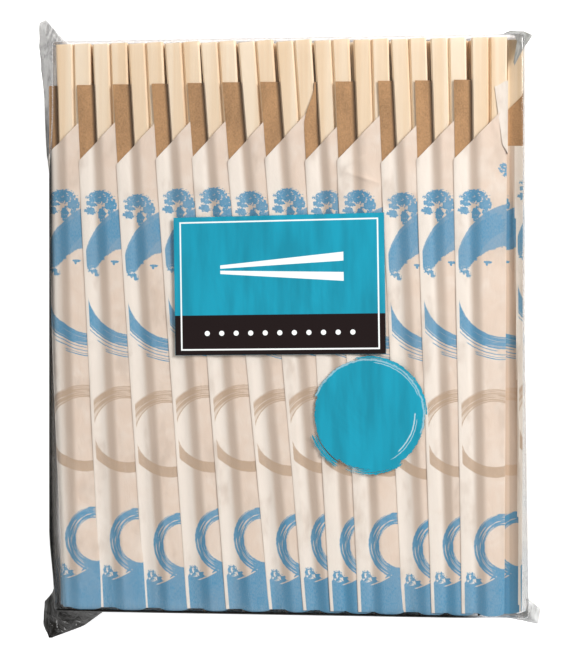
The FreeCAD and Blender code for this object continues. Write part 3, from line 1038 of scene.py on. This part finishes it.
def gathered_material():
    """Film gathered in many plies at the corners: milky grey, with painted shade that makes it nearly black
    at the lower left and at the root of the upper-left ear, and a painted glint near the lower-left tip.
    """
    recipe = Recipe("gathered_film")
    place = recipe.object_place()
    across, along = parts(place)[:2]
    folds = speckle(scaled(place, (260, 90, 160)), 1.0, 4.0, 0.6, 1.2)
    fine = speckle(place, 700, 2.0)
    def corner(side, end):
        return ramp(across, side * 40 * MM, side * 60 * MM) * ramp(along, 0.0, end * 40 * MM)
    lower_left, lower_right, upper_right = corner(-1, -1), corner(1, -1), corner(1, 1)
    grey = mix(ramp(folds, 0.34, 0.6), (0.3, 0.29, 0.28, 1), (0.62, 0.61, 0.59, 1))
    middling = mix(ramp(folds, 0.34, 0.62), (0.14, 0.14, 0.125, 1), (0.42, 0.42, 0.4, 1))
    # Painted shade: the lower-left ear is laid nearly black.
    dark = mix(ramp(folds, 0.4, 0.68), (0.004, 0.003, 0.002, 1), (0.022, 0.02, 0.017, 1))
    # Painted shade: nearly black at the left, from 20 to 60 mm towards the head.
    ear_root_shade = (ramp(across, -40 * MM, -60 * MM) * ramp(along, 90 * MM, 60 * MM) *
                  ramp(along, 0.0, 20 * MM))
    # Painted highlight: a pale glint near the lower-left ear's tip.
    painted_glint = ramp(folds, 0.6, 0.64) * ramp(along, -109 * MM, -111 * MM)
    dark = mix(painted_glint, dark, (0.8, 0.8, 0.8, 1))
    base = mix(most(upper_right, lower_right), mix(lower_left, grey, dark), middling)
    base = mix(ear_root_shade, base, (0.05, 0.047, 0.042, 1))
    relief = bump(folds + fine * 0.15, 0.9, 1.2 * MM)
    cover = 0.72 + lower_left * 0.28 + upper_right * 0.2 + lower_right * -0.14
    ply = recipe.principled(base, 0.34, relief, Specular_IOR_Level=0.12)
    return recipe.finish(recipe.blend(cover, recipe.clear((0.93, 0.93, 0.94, 1.0)), ply))


def crimped_material():
    """Two plies of film welded in fine ribs: clear with milky lines."""
    recipe = Recipe("crimped_seam")
    place = recipe.object_place()
    height = parts(place)[2]
    ribs = (height * (2 * math.pi / (1.1 * MM))).maths("SINE")
    patches = speckle(scaled(place, (90, 60, 240)), 1.0, 2.0)
    cover = 0.05 + ramp(ribs, -0.2, 0.9) * 0.3 + patches * 0.3
    ply = recipe.principled((0.78, 0.78, 0.77, 1.0), 0.25, bump(ribs, 0.4, 0.3 * MM),
                            Specular_IOR_Level=0.5)
    return recipe.finish(recipe.blend(cover, recipe.clear((0.95, 0.95, 0.95, 1.0)), ply))


def film_print(place, film):
    """Mask and colour of the ink: a label with a pair of sticks, and a brushed round badge."""
    label = scaled(about(place, film.label_centre, film.label_turn), PER_MM)
    wide, high = (value / MM / 2 for value in film.label_size)
    across, along = parts(label)[:2]
    along = along * (1.0 - across * 0.0002)
    def box(half_wide, half_high):
        return ramp(least(half_wide - abs(across), half_high - abs(along)), -0.12, 0.12)
    whole = box(wide, high)
    line = box(wide - 2.1, high - 1.7) * (1.0 - box(wide - 2.6, high - 2.2))
    band = ramp(along, -10.4, -10.6)
    def stick(tilt, lift):
        off = 1.05 + across * 0.022 - abs(along - (lift + across * tilt))
        return ramp(least(off, 22.0 - abs(across - 1.0)), -0.1, 0.1)
    du, dv = across.maths("WRAP", 2.6, -2.6), along + 17.0
    dot = (du * du + dv * dv).maths("SQRT")
    row = ramp(dot, 1.0, 0.8) * ramp(abs(across), 29.0, 28.8)
    pale = most(line, most(stick(0.07, 8.2), stick(-0.05, 3.8)), row)
    # Painted shade: soft upright streaks of darker teal, the shade of the sleeves' relief under the film.
    streak_shade = speckle(scaled(label, (0.2, 0.03, 1.0)), 1.0, 3.0)
    teal = mix(ramp(streak_shade, 0.3, 0.7), darker(film.teal, 0.76), film.teal)
    label_colour = mix(pale, mix(band, teal, film.dark), film.pale)
    badge = scaled(about(place, film.badge_centre, 0.0), PER_MM)
    radius = film.badge_radius / MM
    disc = most(
        stroke(badge, (0, 0), -1.0, radius - 0.9, rough=1.6),
        stroke(badge, (0, 0), radius - 3.0, radius, 0.6, 2.2, rough=1.2, streaks=0.3, seed=21),
        stroke(badge, (0.4, 0.5), radius - 0.7, radius + 0.4, 0.9, 0.9, rough=0.9, streaks=0.5, seed=22),
        stroke(badge, (0.2, -0.5), radius - 1.8, radius + 0.7, -1.5, 0.5, rough=1.6, streaks=0.6, seed=25),
        stroke(badge, (-0.4, -0.2), radius - 2.6, radius + 1.4, -2.45, 0.3, rough=2.2, streaks=0.7, seed=26))
    rim = most(
        stroke(badge, (-0.8, 0.2), radius - 2.9, radius - 2.5, -0.4, 0.42, rough=0.5, seed=23),
        stroke(badge, (-0.9, 0.0), radius - 1.9, radius - 1.7, -0.55, 0.5, rough=0.5, seed=27),
        stroke(badge, (0.0, -0.3), radius - 1.0, radius - 0.8, 0.9, 0.5, rough=0.5, seed=24))
    halo = stroke(badge, (0, 0), radius - 0.6, radius, 1.6, 1.9, rough=1.2, streaks=0.4, seed=28) * 0.28
    badge_colour = mix(most(rim * 0.5, halo), teal, film.pale)
    base = mix(whole, badge_colour, label_colour)
    solid = mix(whole * band, (0.87, 0.87, 0.87, 1), (0.985, 0.985, 0.985, 1))
    return most(whole, disc) * solid, base


def film_grid(half, radius, cuts):
    """Places for the grid lines along one side: close together round the edges."""
    bend = 5
    inner = half - radius
    lines = [-half + radius * (1 - math.cos(step / bend * math.pi / 2)) for step in range(bend)]
    middle = cuts + 1 - 2 * bend
    lines += [lerp(-inner, inner, step / middle) for step in range(middle + 1)]
    return lines + [-value for value in reversed(lines[:bend])]


def model_film_shell(film, low, high):
    """Film drawn round the bundle: a soft-edged tube with shallow wrinkles."""
    pick()
    bpy.ops.mesh.primitive_cube_add(size=2.0)
    shell = bpy.context.object
    shell.name = shell.data.name = "film_shell"
    cuts = 54
    bpy.ops.object.mode_set(mode="EDIT")
    bpy.ops.mesh.subdivide(number_cuts=cuts)
    bpy.ops.object.mode_set(mode="OBJECT")
    centre = (low + high) / 2
    half = (high - low) / 2
    radius = film.corner
    grids = [film_grid(half[axis], radius, cuts) for axis in range(3)]
    for vertex in shell.data.vertices:
        spot = Vector([grids[axis][round((vertex.co[axis] + 1) / 2 * (cuts + 1))] for axis in range(3)])
        core = Vector([max(-half[axis] + radius, min(half[axis] - radius, spot[axis])) for axis in range(3)])
        out = spot - core
        if out.length > 0:
            out.normalize()
        side = Vector([round(value, 3) if abs(value) == 1 else 0 for value in vertex.co])
        point = core + (out if out.length > 0 else side) * radius
        vertex.co = centre + point
    for vertex in shell.data.vertices:
        vertex.co = wrinkled(vertex.co, centre, half)
    return shell


def wrinkled(point, centre, half):
    """Film slack along the left and at the foot on the right, drawn in at the left foot, wavy on top."""
    x, y, z = point
    share = (y - centre.y) / half.y
    out = (x - centre.x) / half.x
    x += 1.4 * MM * max(0.0, out) * max(0.0, -share)
    x -= 1.0 * MM * max(0.0, -out) * ease((y + 90 * MM) / (16 * MM)) * ease((78 * MM - y) / (24 * MM))
    x += 0.8 * MM * max(0.0, -out) * ease((-84 * MM - y) / (14 * MM))
    if z > centre.z:
        z += 0.16 * MM * noise.noise(Vector((x * 45, y * 22, 3.0)))
    return Vector((x, y, max(0.0, z)))


def along_line(points, share):
    """The place this far along a run of points, from 0 to 1."""
    spot = min(len(points) - 1.0001, max(0.0, share * (len(points) - 1)))
    first = int(spot)
    return Vector(points[first]).lerp(Vector(points[first + 1]), spot - first) * MM


def model_ear(name, inner, outer, crumple, seed):
    """Film gathered at a corner: a crumpled ply from the bag's edge out to the ear's own edge."""
    ear = new_grid(name, 36, 12)
    for vertex in ear.data.vertices:
        s, t = vertex.co.x, vertex.co.y
        point = along_line(inner, s).lerp(along_line(outer, s), t)
        spot = point / MM
        fold = noise.noise(Vector((spot.x * 0.3, spot.y * 0.14, seed)))
        fold += 0.5 * noise.noise(Vector((spot.x * 0.8, spot.y * 0.5, seed)))
        vertex.co = point + Vector((0.0, 0.0, crumple * MM * fold * ease(t * 3)))
    return ear


def model_end_seam(name, end, low, tall, out):
    """One crimped end seam, folded flat on the bag's end: cross ribs, and a wavy free edge."""
    seam = new_grid(name, 220, 12)
    for vertex in seam.data.vertices:
        s, t = vertex.co.x, vertex.co.y
        x = lerp(-SEAM_SIDE, SEAM_SIDE, s)
        z = lerp(low, low + tall, t) + 0.5 * MM * t * noise.noise(Vector((s * 9, 0.5, out)))
        rib = 0.09 * MM * math.cos(2 * math.pi * t * 6)
        lift = 0.5 * MM * t * t * (1 + noise.noise(Vector((s * 14, 3.5, out))))
        vertex.co = (x, end + out * (0.15 * MM + rib + lift), z)
    return seam


class PACK_OT_film_bag(bpy.types.Operator):
    """Draw the printed film bag round the bundle"""

    bl_idname = "pack.film_bag"
    bl_label = "Film Bag"

    def execute(self, context):
        film = context.scene.pack_film
        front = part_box("front_sleeve_06")[1].z
        tube_low = Vector((-TUBE_SIDE, TUBE_FOOT, 0.0))
        tube_high = Vector((TUBE_SIDE, TUBE_HEAD, front + film.rise))
        shell = model_film_shell(film, tube_low, tube_high)
        shell.data.materials.append(film_material(film))
        ears = (
            ("ear_head_left",
             ((-84.6, 54, 32), (-84.2, 66, 33), (-83.6, 84, 34), (-83.3, 98, 34), (-83.0, 102.6, 34),
              (-82.0, 103.0, 34), (-81.0, 103.0, 34)),
             ((-89.6, 56.9, 28), (-90.7, 63, 27), (-91.9, 85.9, 26), (-93.5, 103.8, 27),
              (-93.2, 112.4, 28), (-90.8, 113.6, 28), (-82.9, 105.2, 31)), 1.2),
            ("ear_head_right",
             ((76.0, 102.2, 43.6), (79.0, 102.4, 43.6), (81.0, 102.0, 43.2), (81.8, 100.0, 43.0),
              (81.2, 96.0, 42.6), (80.6, 92.6, 42.4)),
             ((75.3, 102.4, 41), (79.4, 104.2, 41), (84.6, 104.0, 40), (87.7, 102.9, 39),
              (83.6, 96.8, 40), (81.0, 91.6, 42)), 1.3),
            ("ear_foot_left",
             ((-84.9, -92, 33), (-84.7, -97, 34), (-83.8, -101, 35), (-81.5, -102.7, 36),
              (-74.0, -103.1, 36), (-68.0, -103.2, 36)),
             ((-88.2, -99.2, 25), (-92.3, -103.4, 24), (-93.0, -112.7, 23), (-90.6, -117.4, 22),
              (-77.4, -112.2, 23), (-68.2, -105.2, 30)), 1.8),
            ("ear_foot_right",
             ((72.0, -103.2, 34), (78.0, -103.2, 34), (83.0, -103.0, 34), (85.4, -102.2, 34),
              (85.9, -100.4, 33), (85.8, -98.0, 32)),
             ((72.2, -103.9, 33), (79.0, -105.4, 30), (86.0, -107.0, 28), (90.4, -108.1, 27),
              (91.3, -102.3, 27), (86.7, -98.6, 29)), 1.2),
        )
        made = [model_ear(name, inner, outer, crumple, 2.7 * order)
                for order, (name, inner, outer, crumple) in enumerate(ears, start=1)]
        gathered = join(made, "gathered_corners")
        gathered.data.materials.append(gathered_material())
        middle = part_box("film_bag")[1].z / 2
        seams = [model_end_seam("head_seam", tube_high.y, middle, film.seam, 1),
                 model_end_seam("foot_seam", tube_low.y, middle, film.seam, -1)]
        crimped = join(seams, "end_seams")
        crimped.data.materials.append(crimped_material())
        bag = join([shell, gathered, crimped], "film_wrap")
        apply_modifier(bag, "SOLIDIFY", thickness=film.gauge, offset=0.0)
        smooth(bag, 60)
        settle(bag, "film_bag")
        return {"FINISHED"}


# ---------------------------------------------------------------- stage


def area_light(name, place, aim, size, power):
    bpy.ops.object.light_add(type="AREA", location=place)
    light = bpy.context.object
    light.name = name
    light.data.size = size
    light.data.energy = power
    light.rotation_euler = (Vector(aim) - Vector(place)).to_track_quat("-Z", "Y").to_euler()
    return light


class PACK_OT_stage(bpy.types.Operator):
    """Lay the pale floor and set the light and the camera"""

    bl_idname = "pack.stage"
    bl_label = "Stage"

    def execute(self, context):
        stage = context.scene.pack_stage
        pick()
        bpy.ops.mesh.primitive_plane_add(size=6.0, location=(0.0, 0.0, -0.05 * MM))
        floor = bpy.context.object
        floor.name = floor.data.name = "floor"
        recipe = Recipe("pale_floor")
        floor.data.materials.append(recipe.finish(recipe.principled(
            stage.floor, 0.9, Emission_Color=(1.0, 1.0, 1.0, 1.0), Emission_Strength=0.6)))
        world = bpy.data.worlds.new("studio")
        world.use_nodes = True
        world.node_tree.nodes["Background"].inputs[0].default_value = (1.0, 1.0, 1.0, 1.0)
        world.node_tree.nodes["Background"].inputs[1].default_value = 0.44
        context.scene.world = world
        area_light("key_light", (0.85, 0.5, 0.8), (0, 0, 0), 0.5, stage.key)
        area_light("fill_light", (-0.6, -0.5, 1.0), (0, 0, 0), 0.9, stage.fill)
        target = Vector((stage.aim[0], stage.aim[1], CAD_BOX[1].z))
        away = Vector((math.sin(stage.turn), 0.0, math.cos(stage.turn))) * stage.height
        bpy.ops.object.camera_add(location=target + away, rotation=(0.0, stage.turn, 0.0))
        camera = bpy.context.object
        camera.name = "camera"
        camera.data.lens = stage.lens
        camera.data.sensor_width = 36.0
        context.scene.camera = camera
        context.scene.view_settings.view_transform = "Standard"
        return {"FINISHED"}


# ---------------------------------------------------------------- panel and run


class PACK_PT_panel(bpy.types.Panel):
    """Steps of the pack, in the order they are run"""

    bl_idname = "PACK_PT_panel"
    bl_label = "Sleeved Chopstick Pack"
    bl_space_type = "VIEW_3D"
    bl_region_type = "UI"
    bl_category = "Chopsticks"

    def draw(self, context):
        for operator in OPERATORS:
            self.layout.operator(operator.bl_idname)


SETTINGS = {
    "pack_wood": WoodSettings,
    "pack_paper": PaperSettings,
    "pack_print": PrintSettings,
    "pack_film": FilmSettings,
    "pack_stage": StageSettings,
}
OPERATORS = (
    PACK_OT_wood,
    PACK_OT_front_sleeves,
    PACK_OT_hidden_sleeves,
    PACK_OT_film_bag,
    PACK_OT_stage,
)


def register():
    for name, group in SETTINGS.items():
        bpy.utils.register_class(group)
        setattr(bpy.types.Scene, name, bpy.props.PointerProperty(type=group))
    for operator in OPERATORS:
        bpy.utils.register_class(operator)
    bpy.utils.register_class(PACK_PT_panel)


def unregister():
    bpy.utils.unregister_class(PACK_PT_panel)
    for operator in reversed(OPERATORS):
        bpy.utils.unregister_class(operator)
    for name, group in SETTINGS.items():
        delattr(bpy.types.Scene, name)
        bpy.utils.unregister_class(group)


def main():
    register()
    bpy.ops.pack.wood()
    bpy.ops.pack.front_sleeves()
    bpy.ops.pack.hidden_sleeves()
    bpy.ops.pack.film_bag()
    bpy.ops.pack.stage()


if __name__ == "__main__":
    main()
